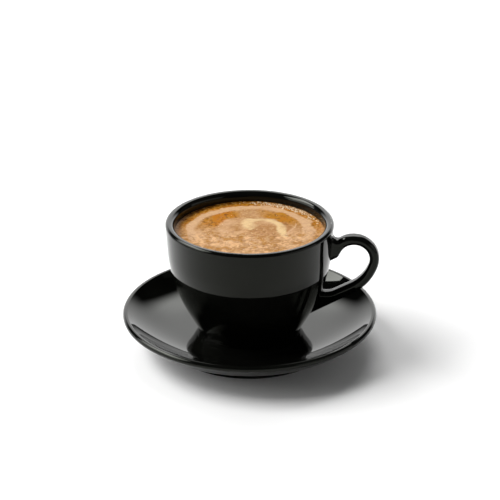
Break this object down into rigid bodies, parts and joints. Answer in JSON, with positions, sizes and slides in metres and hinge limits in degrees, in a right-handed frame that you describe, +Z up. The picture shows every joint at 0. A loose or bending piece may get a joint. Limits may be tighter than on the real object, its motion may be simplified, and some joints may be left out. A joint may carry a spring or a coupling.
{
  "type": "espresso shot",
  "caption": "Espresso with golden-brown crema in a low, wide, black glazed cup with a looped handle, on a matching coupe saucer with a rounded lip.",
  "frame": {"origin": "centre of the saucer's foot ring, on the surface it stands on; the cup's and the saucer's common axis passes through it", "axes": "+Z up along the cup's axis, +X towards the cup's handle, +Y completes a right-handed frame"},
  "size_m": [0.1152, 0.1148, 0.0594],
  "materials": {
    "cup_glaze": "gloss",
    "saucer_glaze": "gloss",
    "crema": "gloss"
  },
  "bodies": {
    "root": {"cup": "cup_glaze", "saucer": "saucer_glaze", "espresso": "crema"}
  },
  "joints": []
}
